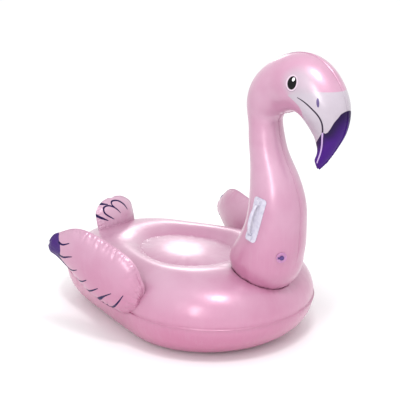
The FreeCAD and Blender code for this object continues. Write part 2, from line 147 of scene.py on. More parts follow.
def grid_normals(points, inside):
    """Unit normals of a grid that is closed across, turned away from the points inside it."""
    down = np.gradient(points, axis=0)
    across = np.roll(points, -1, axis=1) - np.roll(points, 1, axis=1)
    normals = unit(np.cross(down, across))
    turned = (normals * (points - inside)).sum(-1, keepdims=True)
    return normals * np.where(turned < 0, -1, 1)


def make_mesh(name, points, faces):
    """A smooth mesh object from millimetre points, with its faces turned outwards."""
    mesh = bpy.data.meshes.new(name)
    mesh.from_pydata(to_row(points).tolist(), [], [list(map(int, f)) for f in faces])
    mesh.validate()
    work = bmesh.new()
    work.from_mesh(mesh)
    bmesh.ops.recalc_face_normals(work, faces=work.faces)
    work.to_mesh(mesh)
    work.free()
    mesh.shade_smooth()
    obj = bpy.data.objects.new(name, mesh)
    bpy.context.collection.objects.link(obj)
    return obj


def capped(points, both=True):
    """Grid points of a tube and its faces, closed with a fan at both ends or only the first."""
    rows, columns = points.shape[:2]
    flat = points.reshape(-1, 3)
    faces = [list(f) for f in grid_faces(rows, columns)]
    for row in (0, rows - 1) if both else (0,):
        flat = np.vstack([flat, points[row].mean(0)])
        first, middle = row * columns, len(flat) - 1
        faces += [[first + c, first + (c + 1) % columns, middle] for c in range(columns)]
    return flat, faces


def apply_modifiers(obj):
    graph = bpy.context.evaluated_depsgraph_get()
    mesh = bpy.data.meshes.new_from_object(
        obj.evaluated_get(graph), preserve_all_data_layers=True, depsgraph=graph)
    obj.modifiers.clear()
    obj.data = mesh
    return obj


def cut(obj, tool):
    """Subtract a closed mesh exactly, and remove it."""
    step = obj.modifiers.new("cut", "BOOLEAN")
    step.operation = "DIFFERENCE"
    step.solver = "EXACT"
    step.object = tool
    apply_modifiers(obj)
    bpy.data.objects.remove(tool)
    obj.data.shade_smooth()
    return obj


def vertices(obj):
    points = np.empty(len(obj.data.vertices) * 3)
    obj.data.vertices.foreach_get("co", points)
    return to_part(points.reshape(-1, 3))


def paint(obj, name, values):
    """Store a value or a vector on each vertex for a material to read."""
    values = np.asarray(values, np.float32)
    kind = "FLOAT" if values.ndim == 1 else "FLOAT_VECTOR"
    layer = obj.data.attributes.new(name, kind, "POINT")
    layer.data.foreach_set("value" if values.ndim == 1 else "vector", values.ravel())


# ---------------------------------------------------------------- body tube
FRONT_RADIUS, FRONT_X = 451.0, 130.0
REAR_RADIUS, REAR_X = 326.0, -381.0
HALF_HEIGHT_FRONT, HALF_HEIGHT_REAR = 181.0, 172.0
FLOOR_FLAT = 4.0
SEAM_HEIGHT = 170.0
WELL_X, WELL_LONG, WELL_WIDE = -18.0, 123.0, 138.0
WELL = np.array((WELL_X, 0.0, 0.0))
WELD_RADIUS = 210  # mean radius of the seat's welds, to turn angles into lengths
ARC_POINTS = 900
RINGS = 440


def outline(count):
    """Points of equal spacing round the hull of the front and the rear circle."""
    tangent = math.acos(-(FRONT_RADIUS - REAR_RADIUS) / (FRONT_X - REAR_X))
    front = np.linspace(-tangent, tangent, ARC_POINTS)
    rear = np.linspace(tangent, ROUND - tangent, ARC_POINTS)
    points = np.vstack([
        np.column_stack([FRONT_X + FRONT_RADIUS * np.cos(front), FRONT_RADIUS * np.sin(front)]),
        np.column_stack([REAR_X + REAR_RADIUS * np.cos(rear), REAR_RADIUS * np.sin(rear)]),
    ])
    points = np.vstack([points, points[:1]])
    length = running_length(points)
    at = np.arange(count) / count * length[-1]
    spots = np.column_stack([np.interp(at, length, points[:, k]) for k in (0, 1)])
    return np.column_stack([spots, np.zeros(count)]), at, length[-1]


def sections(outer):
    """Middle, outward direction, half width and half height of the tube at outline points."""
    away = unit(outer - WELL)
    reach = 1 / np.hypot(away[:, 0] / WELL_LONG, away[:, 1] / WELL_WIDE)
    inner = WELL + away * reach[:, None]
    middle = (outer + inner) / 2
    rear_end, front_end = REAR_X - REAR_RADIUS / 2, FRONT_X + FRONT_RADIUS / 2
    share = np.clip((middle[:, 0] - rear_end) / (front_end - rear_end), 0, 1)
    half_height = HALF_HEIGHT_REAR + (HALF_HEIGHT_FRONT - HALF_HEIGHT_REAR) * share
    middle[:, 2] = half_height - FLOOR_FLAT
    return middle, away, np.linalg.norm(outer - inner, axis=1) / 2, half_height


OUTER, OUTER_AT, OUTER_LENGTH = outline(RINGS)
MIDDLE, AWAY, HALF_WIDTH, HALF_HEIGHT = sections(OUTER)
ANGLE = np.unwrap(np.arctan2(AWAY[:, 1], AWAY[:, 0]))
MIDDLE_RADIUS = np.linalg.norm((MIDDLE - WELL)[:, :2], axis=1)


def round_well(angle, values):
    """A value given at the outline's points, at other angles round the well."""
    return np.interp(angle, ANGLE, values, period=2 * math.pi)


def tube_level(points):
    """Rough signed distance of points from the skin of the body tube."""
    points = np.asarray(points, float)
    angle = np.arctan2(points[:, 1], points[:, 0] - WELL_X)
    out = np.hypot(points[:, 0] - WELL_X, points[:, 1]) - round_well(angle, MIDDLE_RADIUS)
    up = points[:, 2] - round_well(angle, MIDDLE[:, 2])
    share = np.hypot(out / round_well(angle, HALF_WIDTH), up / round_well(angle, HALF_HEIGHT))
    return np.hypot(out, up) * (1 - 1 / np.maximum(share, 1e-6))


SEAT_X, SEAT_LONG, SEAT_WIDE = -46.0, 262.0, 222.0
SEAT_EDGE, SEAT_BOTTOM, SEAT_DOME = 308.0, 72.0, 22.0
SEAT_WALL = 1.0
HALVINGS = 30


def dome(points, edge, direction):
    """Height of a seat sheet that starts from edge and bulges up (1) or down (-1)."""
    out = np.hypot((points[:, 0] - SEAT_X) / SEAT_LONG, points[:, 1] / SEAT_WIDE)
    return edge + direction * SEAT_DOME * (1 - np.clip(out, 0, 1) ** 2.9)


def seat_edge(angles, edge, direction):
    """Radius from the well's middle at which a seat sheet meets the tube."""
    ways = np.column_stack([np.cos(angles), np.sin(angles), np.zeros(len(angles))])
    low, high = np.full(len(angles), 60.0), np.full(len(angles), 330.0)
    for _ in range(HALVINGS):
        middle = (low + high) / 2
        points = WELL + ways * middle[:, None]
        points[:, 2] = dome(points, edge, direction)
        inside = tube_level(points) < 0
        high = np.where(inside, middle, high)
        low = np.where(inside, low, middle)
    return low, ways


PIVOT = np.array((433.0, 0.0, 412.0))
BASE_RADIUS = 158.0
CUP_RADIUS = 158.5
FIN = 3.5        # how far a weld fin stands out
FIN_HALF = 0.45  # half its thickness
BODY_FIN_HALF = 0.5
FLOOR_GAP = 0.3  # the body's underside stays this far above the floor


def build_body():
    """The ring tube, with its weld fin, wrinkles and the cup that takes the neck's base."""
    columns = 150
    start = np.arcsin((SEAM_HEIGHT - MIDDLE[:, 2]) / HALF_HEIGHT)
    turns = np.linspace(0, 2 * math.pi, columns)
    lips = (turns > 0) & (turns < 2 * math.pi)
    turns = np.concatenate([[0.006], turns[lips], [2 * math.pi - 0.006, 0, 0]])
    angle = start[:, None] + turns[None, :]
    cos, sin = np.cos(angle)[..., None], np.sin(angle)[..., None]
    points = (MIDDLE[:, None] + AWAY[:, None] * HALF_WIDTH[:, None, None] * cos
              + UP * HALF_HEIGHT[:, None, None] * sin)
    normals = unit(AWAY[:, None] * cos / HALF_WIDTH[:, None, None]
                   + UP * sin / HALF_HEIGHT[:, None, None])
    flat, outward = points.reshape(-1, 3), normals.reshape(-1, 3)
    seam = points[:, -1]
    away = np.linalg.norm(points - seam[:, None], axis=-1).ravel()
    along = np.repeat(OUTER_AT, points.shape[1])
    sink = puckers(along, away, OUTER_LENGTH, 34, 2.4, 42, 11, loop=True)
    sink += 2.6 * np.exp(-(away / 9) ** 2)
    # groove and puckers where the seat sheets are welded in
    turn = np.arctan2(flat[:, 1], flat[:, 0] - WELL_X)
    for edge, direction, seed in ((SEAT_EDGE, 1, 21), (SEAT_BOTTOM, -1, 22)):
        radius, ways = seat_edge(turn, edge, direction)
        weld = WELL + ways * radius[:, None]
        weld[:, 2] = dome(weld, edge, direction)
        gap = np.linalg.norm(flat - weld, axis=1)
        sink += 1.6 * np.exp(-(gap / 7) ** 2)
        sink += puckers(turn * WELD_RADIUS, gap, WELD_RADIUS * ROUND, 30, 1.6, 30, seed, loop=True)
    # creases that run out from the neck's weld
    reach = flat - PIVOT
    gap = np.abs(np.linalg.norm(reach, axis=1) - CUP_RADIUS)
    bearing = np.arctan2(reach[:, 1], reach[:, 0]) * CUP_RADIUS
    high = flat[:, 2] > SEAM_HEIGHT + 30
    sink += high * puckers(bearing, gap, CUP_RADIUS * ROUND, 36, 3.0, 40, 31, loop=True)
    sink += high * 1.2 * np.exp(-(gap / 10) ** 2)
    flat = flat - outward * sink[:, None]
    points = flat.reshape(points.shape)
    lip = AWAY * FIN
    wave = 0.8 * np.sin(OUTER_AT / 23.0)[:, None] * UP
    points[:, -2] = seam + lip - UP * BODY_FIN_HALF + wave
    points[:, -1] = seam + lip + UP * BODY_FIN_HALF + wave
    points[..., 2] = np.maximum(points[..., 2], FLOOR_GAP)
    rows, cols = points.shape[:2]
    body = make_mesh("body_skin", points.reshape(-1, 3), grid_faces(rows, cols, loop_rows=True))
    cup = ball("cup", CUP_RADIUS)
    return cut(body, cup)


def ball(name, radius):
    """A closed sphere about the neck's pivot."""
    columns = 144
    rings = np.linspace(-math.pi / 2, math.pi / 2, 92)[1:-1]
    turns = np.arange(columns) * 2 * math.pi / columns
    points = np.stack([
        PIVOT[0] + radius * np.cos(rings)[:, None] * np.cos(turns),
        radius * np.cos(rings)[:, None] * np.sin(turns),
        PIVOT[2] + radius * np.sin(rings)[:, None] * np.ones(columns),
    ], -1)
    return make_mesh(name, *capped(points))


def build_seat(name, edge, direction, seed):
    """A domed seat sheet, from its middle out to the weld with the tube."""
    columns = 360
    turns = np.arange(columns) * 2 * math.pi / columns
    radius, ways = seat_edge(turns, edge, direction)
    shares = np.concatenate([np.linspace(0.02, 0.9, 44), np.linspace(0.9, 1.0, 16)[1:]])
    points = WELL + ways[None] * (radius[None, :] * shares[:, None])[..., None]
    flat = points.reshape(-1, 3)
    flat[:, 2] = dome(flat, edge, direction)
    away = np.repeat(1 - shares, columns) * np.tile(radius, len(shares))
    along = np.tile(turns * WELD_RADIUS, len(shares))
    sink = puckers(along, away, WELD_RADIUS * ROUND, 26, 2.2, 40, seed, loop=True)
    flat[:, 2] -= direction * sink
    points = flat.reshape(points.shape)
    hem = points[-1] + ways * 4
    hem[:, 2] -= direction * 2
    points = np.vstack([points, hem[None]])
    seat = make_mesh(name, *capped(points, both=False))
    wall = seat.modifiers.new("wall", "SOLIDIFY")
    wall.thickness = SEAT_WALL * MM
    wall.offset = 0
    return apply_modifiers(seat)


# ---------------------------------------------------------------- neck and head
# x, z, half depth, half width and the direction of the centre line in degrees.
NECK_STATIONS = [
    (433, 412, 158, 158, 90), (444, 458, 160, 153, 97), (466, 533, 145, 137, 102),
    (482, 616, 129, 123, 102), (477, 698, 115, 112, 102), (459, 780, 98, 96, 101),
    (435, 859, 81, 81, 100), (419, 935, 75, 74, 99), (413, 999, 73, 72, 97),
    (418, 1056, 85, 84, 73), (445, 1108, 99, 93, 47), (504, 1152, 111, 99, 15),
    (581, 1172, 125, 110, -15), (644, 1155, 121, 105, -35), (691, 1115, 110, 96, -53),
    (719, 1070, 100, 85, -65), (733, 1022, 85, 68, -73), (735, 979, 66, 53, -80),
    (728, 939, 48, 38, -83), (711, 897, 33, 27, -89), (692, 864, 22, 18, -94),
    (687, 845, 7, 6, -98), (686, 840, 3, 2.5, -98),
]
NECK_SEAM = 2300  # rough length of the seam from the base over the crown to the beak's tip


def section_rows(middles, tall, wide, tall_half, wide_half, turns, power=1.0):
    """Rows of oval sections; power above 1 draws them towards a welded edge."""
    cos, sin = np.cos(turns), np.sin(turns)
    flatter = np.sign(sin) * np.abs(sin) ** power
    return (middles[:, None] + tall[:, None] * tall_half[:, None, None] * cos[None, :, None]
            + wide[:, None] * wide_half[:, None, None] * flatter[None, :, None])


def weld_turns(count, gap):
    """Angles round an oval section, doubled at its two welded edges for the fin's corners."""
    half_turn = np.linspace(0, math.pi, count)[1:-1]
    return np.concatenate([
        [0.0, gap], half_turn, [math.pi - gap, math.pi, math.pi, math.pi + gap],
        math.pi + half_turn, [2 * math.pi - gap, 2 * math.pi],
    ])


def neck_rows():
    """Rows like the stations': the round base from below, then the spline to the beak's tip."""
    count = 26
    low = np.radians(np.linspace(-88, -3, count))
    base = np.column_stack([
        np.full(count, PIVOT[0]), PIVOT[2] + BASE_RADIUS * np.sin(low),
        BASE_RADIUS * np.cos(low), BASE_RADIUS * np.cos(low), np.full(count, 90.0),
    ])
    places = np.concatenate([np.linspace(0, 0.42, 150)[:-1], np.linspace(0.42, 1, 330)])
    return np.vstack([base, spline(NECK_STATIONS, places)])


def build_neck():
    """The neck and head, with a fin and wrinkles along the centre seam."""
    rows = neck_rows()
    lean = np.radians(rows[:, 4])
    middles = np.column_stack([rows[:, 0], np.zeros(len(rows)), rows[:, 1]])
    across = np.column_stack([-np.sin(lean), np.zeros(len(rows)), np.cos(lean)])
    wide = np.tile(LEFT, (len(rows), 1))
    turns = weld_turns(92, 0.012)
    points = section_rows(middles, across, wide, rows[:, 2], rows[:, 3], turns)
    half = len(turns) // 2
    normals = unit(across[:, None] * (np.cos(turns)[None, :, None] / rows[:, 2][:, None, None])
                   + wide[:, None] * (np.sin(turns)[None, :, None] / rows[:, 3][:, None, None]))
    flat = points.reshape(-1, 3)
    back, front = points[:, 0], points[:, half]
    sink = np.zeros(len(flat))
    clear = smoothstep(380, 470, middles[:, 2])
    fade = np.repeat(clear, len(turns))
    for line, depth, reach, seed in ((back, 1.0, 24, 41), (front, 1.5, 30, 42)):
        along, away = nearest(flat, line)
        sink += fade * puckers(along, away, NECK_SEAM, 30, depth, reach, seed)
        sink += fade * 1.4 * np.exp(-(away / 6) ** 2)
    throat = np.exp(-(np.linalg.norm(flat - (520, 0, 1045), axis=1) / 80) ** 2)
    along, away = nearest(flat, front)
    sink += throat * puckers(along, away, NECK_SEAM, 19, 3.2, 48, 43)
    # the base is welded down: upright creases that start at the body's crest
    reach = flat - PIVOT
    bearing = np.arctan2(reach[:, 1], reach[:, 0]) * BASE_RADIUS
    level = tube_level(flat)
    climb, shows = np.maximum(level, 0), level > -30
    sink += shows * puckers(bearing, climb, BASE_RADIUS * ROUND, 27, 3.4, 42, 44, loop=True)
    sink += shows * np.exp(-(climb / 9) ** 2)
    sink = np.maximum(sink, 0).reshape(points.shape[:2])
    fin = FIN * clear + 2.0 * smoothstep(900, 860, middles[:, 2]) * (middles[:, 0] > 600)
    ragged = np.random.default_rng(5).uniform(0.7, 1.2, len(rows))
    fin = fin * np.where((middles[:, 0] > 600) & (middles[:, 2] < 930), ragged, 1)
    edges = []
    for line, side in ((back, 1), (front, -1)):
        run = unit(np.gradient(line, axis=0))
        out = unit(np.cross(run, LEFT))
        out *= np.where((out * across).sum(1, keepdims=True) * side < 0, -1, 1) * side
        edges.append(out)
    shaped = points - normals * sink[..., None]
    for column, pair, side, out in ((0, -1, 1, edges[0]), (half, half - 1, -1, edges[1])):
        tip = shaped[:, column] + side * out * fin[:, None]
        shaped[:, column] = tip + LEFT * FIN_HALF * side
        shaped[:, pair] = tip - LEFT * FIN_HALF * side
    return make_mesh("neck_skin", *capped(shaped))


# ---------------------------------------------------------------- wings and tail
WING_ROOT = np.array((56.0, 391.0, 242.0))
WING_AXIS = unit((-0.879, 0.347, 0.327))
WING_FACE = np.array((0.271, 0.958, -0.089))
LEFT_PITCH = 15.0
# along the axis, along the rise, off the face, half height and half thickness
WING_STATIONS = [
    (-34, 12, 50, 10, 4), (-30, 12, 50, 36, 14), (-12, 16, 50, 80, 30), (20, 26, 49, 112, 42),
    (70, 38, 45, 133, 50), (140, 44, 37, 140, 54), (220, 54, 30, 136, 54), (300, 74, 27, 116, 48),
    (370, 78, 27, 84, 36), (420, 66, 29, 52, 22), (444, 56, 30, 26, 10), (449, 53, 30, 11, 4),
]
TAIL_ROOT = np.array((-502.0, 0.0, 318.0))
TAIL_LEAN = math.radians(14)
TAIL_UP = np.array((-math.sin(TAIL_LEAN), 0, math.cos(TAIL_LEAN)))
TAIL_FACE = np.array((math.cos(TAIL_LEAN), 0, math.sin(TAIL_LEAN)))
# from how far out of the root to where the film goes over from following the ring
TAIL_STATIONS = [
    (-20, 0, 0, 112, 20), (30, 0, 0, 116, 34), (75, 0, 0, 115, 36), (110, 0, 0, 104, 28),
    (133, 0, 0, 74, 16), (144, 0, 0, 42, 7), (147, 0, 0, 24, 3),
]
PILLOW_FIN = 4.0
ROOT_GIRTH = 115  # mean radius of a root, to turn angles into lengths


def wing_frame(side):
    """Root point and unit directions of a wing: out, up and off its outer face."""
    pitch = math.radians(LEFT_PITCH if side > 0 else 0)
    turn = np.array(Matrix.Rotation(-pitch, 3, Vector(WING_FACE)))
    axis = unit(turn @ WING_AXIS)
    rise = unit(np.cross(WING_FACE, axis))
    face = np.cross(axis, rise)
    mirror = np.array((1, side, 1))
    return WING_ROOT * mirror, axis * mirror, rise * mirror, face * mirror


def build_pillow(name, stations, root, axis, rise, face, seeds, power, pitch, depth, reach):
    """An inflated pillow of two welded panels, with puckers along its weld and its root."""
    rows = spline(stations, np.linspace(0, 1, 170))
    middles = (root + np.outer(rows[:, 0], axis) + np.outer(rows[:, 1], rise)
               + np.outer(rows[:, 2], face))
    tall, wide = np.tile(rise, (len(rows), 1)), np.tile(face, (len(rows), 1))
    turns = weld_turns(90, 0.014)
    points = section_rows(middles, tall, wide, rows[:, 3], rows[:, 4], turns, power)
    half = len(turns) // 2
    normals = grid_normals(points, middles[:, None])
    top, bottom = points[:, 0], points[:, half]
    weld = np.vstack([top, bottom[::-1]])
    flat = points.reshape(-1, 3)
    along, away = nearest(flat, weld)
    length = np.linalg.norm(np.diff(weld, axis=0), axis=1).sum()
    thick = np.repeat(np.minimum(rows[:, 4] / 25, 1), len(turns))
    sink = thick * puckers(along, away, length, pitch, depth, reach, seeds)
    sink += thick * puckers(along, away, length, pitch * 0.55, depth * 0.4, reach * 0.5, seeds + 1)
    climb = np.maximum(tube_level(flat), 0)
    girth = np.tile(turns, len(rows)) * ROOT_GIRTH
    sink += puckers(girth, climb, ROOT_GIRTH * ROUND, pitch * 0.8, depth * 1.1, reach * 1.4,
                    seeds + 2, loop=True)
    sink += 2.0 * np.exp(-(climb / 10) ** 2)
    limit = 0.55 * np.abs(((flat - np.repeat(middles, len(turns), axis=0)) * face).sum(1))
    sink = np.minimum(sink, limit).reshape(points.shape[:2])
    shaped = points - normals * sink[..., None]
    for column, pair, line, side in ((0, -1, top, 1), (half, half - 1, bottom, -1)):
        run = unit(np.gradient(line, axis=0))
        out = unit(np.cross(run, face))
        out *= np.where((out * rise).sum(1, keepdims=True) * side < 0, -1, 1)
        tip = line + out * PILLOW_FIN
        shaped[:, column] = tip + face * FIN_HALF * side
        shaped[:, pair] = tip - face * FIN_HALF * side
    return make_mesh(name, *capped(shaped))


# ---------------------------------------------------------------- printed marks
STROKE_SAMPLES = 80
STROKE_REACH, REGION_REACH = 60, 80  # distances beyond these are all stored alike


def stroke(flat, points, widths):
    """Signed distance from a stroke's middle line, and its half width there.

    The half width falls below zero beyond the stroke's ends."""
    line = spline(points, np.linspace(0, 1, STROKE_SAMPLES))
    run = unit(np.gradient(line, axis=0))
    side = np.column_stack([-run[:, 1], run[:, 0]])
    offset, width = np.empty(len(flat)), np.empty(len(flat))
    spans = np.interp(np.linspace(0, 1, len(line)), np.linspace(0, 1, len(widths)), widths)
    for start in range(0, len(flat), BLOCK):
        block = flat[start:start + BLOCK]
        best = ((block[:, None] - line[None]) ** 2).sum(-1).argmin(1)
        gap = block - line[best]
        offset[start:start + BLOCK] = (gap * side[best]).sum(1)
        past = (gap * run[best]).sum(1)
        beyond = np.where(best == 0, -past, np.where(best == len(line) - 1, past, 0))
        width[start:start + BLOCK] = spans[best] - np.maximum(beyond, 0)
    reach = STROKE_REACH
    return np.clip(offset, -reach, reach), np.clip(width, -reach, reach)


def region(flat, corners):
    """Signed distance from a closed outline, below zero inside."""
    corners = np.asarray(corners, float)
    following = np.roll(corners, -1, axis=0)
    best = np.full(len(flat), 1e9)
    inside = np.zeros(len(flat), bool)
    for a, b in zip(corners, following):
        edge = b - a
        share = np.clip(((flat - a) @ edge) / (edge @ edge), 0, 1)
        best = np.minimum(best, np.linalg.norm(flat - a - share[:, None] * edge, axis=1))
        crosses = (a[1] > flat[:, 1]) != (b[1] > flat[:, 1])
        if edge[1] != 0:
            inside ^= crosses & (flat[:, 0] < a[0] + (flat[:, 1] - a[1]) / edge[1] * edge[0])
    return np.clip(np.where(inside, -best, best), -REGION_REACH, REGION_REACH)


def print_marks(obj, flat, strokes, regions, shown):
    """Store each stroke and region of a print, hidden where shown is false."""
    for number, (points, widths) in enumerate(strokes):
        offset, width = stroke(flat, points, widths)
        width = np.where(shown, width, -STROKE_REACH)
        paint(obj, f"stroke_{number}", np.column_stack([offset, width, np.zeros(len(flat))]))
    for name, corners in regions.items():
        paint(obj, name, np.where(shown, region(flat, corners), STROKE_REACH))


WING_STROKES = [
    ([(398, 96), (378, 97), (364, 106), (346, 121)], [4.5, 3.0, 1.8, 0.6]),
    ([(384, 36), (360, 40), (343, 52), (315, 72)], [5.5, 3.5, 2.2, 0.6]),
    ([(378, 14), (350, 0), (322, -8), (303, 0), (279, 21)], [9.0, 6.5, 5.0, 2.2, 0.6]),
    ([(280, -40), (262, -37), (241, -22), (223, 0)], [1.0, 3.4, 2.0, 0.6]),
    ([(226, -66), (210, -61), (186, -39), (161, -8)], [1.0, 3.8, 2.2, 0.6]),
    ([(212, -58), (206, -68), (202, -76)], [2.5, 2.4, 0.6]),
    ([(182, -86), (160, -78), (135, -46), (95, 4)], [1.0, 7.5, 2.4, 0.6]),
    ([(160, -80), (135, -96), (100, -93), (66, -50), (40, 26)], [6.5, 4.5, 3.6, 2.6, 0.6]),
]
WING_REGIONS = {
    "tip": [(424, 128), (404, 108), (388, 90), (379, 66), (378, 46), (381, 30), (372, 8),
            (352, -6), (352, -40), (500, -60), (520, 128)],
}
TAIL_STROKES = [
    ([(-38, 48), (-67, 72), (-81, 94), (-75, 111), (-52, 118), (-25, 106), (-9, 91), (7, 68)],
     [0.6, 2.2, 2.6, 2.6, 2.6, 2.6, 2.0, 0.6]),
    ([(-18, 104), (-26, 118), (-20, 130), (-3, 133), (22, 126), (45, 104), (60, 74)],
     [1.6, 2.4, 2.6, 2.6, 3.4, 2.6, 0.6]),
    ([(-84, 138), (-66, 130), (-46, 124)], [6.5, 4.0, 0.6]),
    ([(-120, 90), (-101, 70), (-71, 49)], [5.0, 4.2, 0.6]),
]


def print_wing(obj, side):
    """The feather marks, on the outer face only."""
    root, axis, rise, face = wing_frame(side)
    gap = vertices(obj) - root
    flat = np.column_stack([gap @ axis, gap @ rise])
    middle = np.interp(flat[:, 0], [s[0] for s in WING_STATIONS], [s[2] for s in WING_STATIONS])
    print_marks(obj, flat, WING_STROKES, WING_REGIONS, gap @ face > middle - 2)


def print_tail(obj):
    gap = vertices(obj) - TAIL_ROOT
    flat = np.column_stack([gap[:, 1], gap @ TAIL_UP])
    print_marks(obj, flat, TAIL_STROKES, {}, np.ones(len(flat), bool))


# side views of the marks on the head: x and z
MOUTH = [(648, 1137), (678, 1123), (700, 1108), (716, 1095), (731, 1080), (745, 1052), (746, 1023),
         (740, 994), (731, 960), (714, 914), (692, 868)]
MOUTH_HALF_WIDTHS = [0.5, 1.6, 2.0, 2.2, 2.2, 2.2, 2.2, 2.2, 2.0, 1.8, 1.2]
FACE = [(900, 1166), (744, 1166), (700, 1170), (656, 1168), (620, 1152), (604, 1140), (622, 1126),
        (638, 1112), (650, 1100), (658, 1082), (650, 1040), (600, 900), (640, 760), (900, 760)]
BEAK = [(900, 1100), (815, 1095), (806, 1084), (800, 1070), (788, 1050), (774, 1024),
        (764, 1010), (754, 1004), (745, 1008), (738, 1002), (722, 982), (700, 958), (640, 930),
        (640, 760), (900, 760)]
# and as ellipses: middle x and z, half sizes, tilt
NOSTRIL = (734, 1126, 5.5, 18, -0.12)
BROW = (650, 1192, 92, 78, 0.3)
EYE_RING = (622, 1190, 28, 35, 0.17)
EYE = (623, 1191, 19.5, 26, 0.17)
GLINT = (628, 1205, 5.5, 7.5, 0.3)


def print_head(obj):
    points = vertices(obj)
    flat = points[:, (0, 2)]
    shown = (points[:, 0] > 560) & (points[:, 2] > 800)
    print_marks(obj, flat, [(MOUTH, MOUTH_HALF_WIDTHS)], {"face": FACE, "beak": BEAK}, shown)
    # the face's edge is crisp in front and fades towards the eye
    crisp = smoothstep(735, 690, points[:, 0]) * smoothstep(1135, 1160, points[:, 2])
    paint(obj, "face_fade", 3 + 42 * crisp)


# ---------------------------------------------------------------- materials
def srgb(red, green, blue):
    """A linear colour from screen values of 0 to 255."""
    values = [v / 255 for v in (red, green, blue)]
    return (*[v / 12.92 if v <= 0.04045 else ((v + 0.055) / 1.055) ** 2.4 for v in values], 1)


class Finish:
    """A Principled material and short calls for the nodes that feed it."""

    def __init__(self, name):
        self.material = bpy.data.materials.new(name)
        self.material.use_nodes = True
        self.nodes = self.material.node_tree.nodes
        self.links = self.material.node_tree.links
        self.shader = self.nodes["Principled BSDF"]
        self.place = self.nodes.new("ShaderNodeTexCoord").outputs["Object"]

    def link(self, value, socket):
        if isinstance(value, bpy.types.NodeSocket):
            self.links.new(value, socket)
        else:
            socket.default_value = value

    def settings(self, **values):
        for name, value in values.items():
            self.shader.inputs[name.replace("_", " ")].default_value = value

    def math(self, operation, *values):
        node = self.nodes.new("ShaderNodeMath")
        node.operation = operation
        for value, socket in zip(values, node.inputs):
            self.link(value, socket)
        return node.outputs[0]

    def ramp(self, value, low, high, start=0.0, end=1.0, smooth=True):
        node = self.nodes.new("ShaderNodeMapRange")
        node.interpolation_type = "SMOOTHSTEP" if smooth else "LINEAR"
        for content, socket in zip((value, low, high, start, end), node.inputs):
            self.link(content, socket)
        return node.outputs[0]

    def mix(self, share, first, second, kind="MIX"):
        node = self.nodes.new("ShaderNodeMix")
        node.data_type = "RGBA"
        node.blend_type = kind
        self.link(share, node.inputs[0])
        self.link(first, node.inputs[6])
        self.link(second, node.inputs[7])
        return node.outputs[2]

    def noise(self, scale, detail=2.0, rough=0.5, stretch=None):
        source = self.place
        if stretch:
            turn = self.nodes.new("ShaderNodeMapping")
            turn.inputs["Scale"].default_value = stretch
            self.links.new(self.place, turn.inputs["Vector"])
            source = turn.outputs[0]
        node = self.nodes.new("ShaderNodeTexNoise")
        node.inputs["Scale"].default_value = scale
        node.inputs["Detail"].default_value = detail
        node.inputs["Roughness"].default_value = rough
        self.links.new(source, node.inputs["Vector"])
        return node.outputs["Fac"]

    def axis(self, letter):
        node = self.nodes.new("ShaderNodeSeparateXYZ")
        self.links.new(self.place, node.inputs[0])
        return node.outputs["XYZ".index(letter)]

    def stored(self, name):
        node = self.nodes.new("ShaderNodeAttribute")
        node.attribute_name = name
        return node

    def bump(self, *layers):
        """Bump from (height, distance in metres) layers."""
        below = None
        for height, distance in layers:
            node = self.nodes.new("ShaderNodeBump")
            node.inputs["Strength"].default_value = 1.0
            node.inputs["Distance"].default_value = distance
            self.links.new(height, node.inputs["Height"])
            if below:
                self.links.new(below, node.inputs["Normal"])
            below = node.outputs[0]
        self.links.new(below, self.shader.inputs["Normal"])

    def ellipse(self, x, z, half_x, half_z, tilt=0.0):
        """Distance round an upright ellipse seen from the side: 1 on its edge."""
        turn = self.nodes.new("ShaderNodeMapping")
        turn.vector_type = "TEXTURE"
        turn.inputs["Location"].default_value = ((x + SHIFT_X) * MM, 0, z * MM)
        turn.inputs["Rotation"].default_value = (0, tilt, 0)
        turn.inputs["Scale"].default_value = (half_x * MM, 1e6, half_z * MM)
        self.links.new(self.place, turn.inputs["Vector"])
        size = self.nodes.new("ShaderNodeVectorMath")
        size.operation = "LENGTH"
        self.links.new(turn.outputs[0], size.inputs[0])
        return size.outputs["Value"]

    def stroke_mask(self, number):
        stored = self.stored(f"stroke_{number}")
        parts = self.nodes.new("ShaderNodeSeparateXYZ")
        self.links.new(stored.outputs["Vector"], parts.inputs[0])
        edge = self.math("SUBTRACT", self.math("ABSOLUTE", parts.outputs[0]), parts.outputs[1])
        return self.ramp(edge, STROKE_SPREAD + 0.35, STROKE_SPREAD - 0.35)


STROKE_SPREAD = 1.3  # mm that the ink runs past each stroke's edge
PINK = srgb(178, 121, 151)
# painted shade: the deeper pink that the vinyl is darkened towards low down
PINK_PAINTED_SHADE = srgb(180, 88, 132)
PINK_PALE = srgb(190, 146, 170)
# painted light: the pale pink that the tail's vinyl is lightened towards
TAIL_PAINTED_LIGHT = srgb(208, 172, 194)
INK = srgb(62, 30, 104)
INK_DARK = srgb(26, 0, 66)
FACE_LILAC = srgb(172, 160, 172)
LINE_GREY = srgb(40, 28, 48)
LINE_LILAC = srgb(188, 160, 205)
FACE_PALE = srgb(180, 169, 181)
BEAK_DEEP, BEAK_EDGE = srgb(58, 0, 112), srgb(26, 0, 56)
EYE_LINE, EYE_PALE, EYE_BLACK = srgb(90, 60, 90), srgb(228, 205, 222), srgb(5, 3, 7)
GLINT_WHITE = srgb(248, 248, 250)
# shine of the film, and of the ink printed on it
FILM = {"Coat Weight": 0.8, "Specular IOR Level": 0.5, "Metallic": 0.2}
PRINTED = {"Coat Weight": 0.05, "Specular IOR Level": 0.1, "Metallic": 0.0}


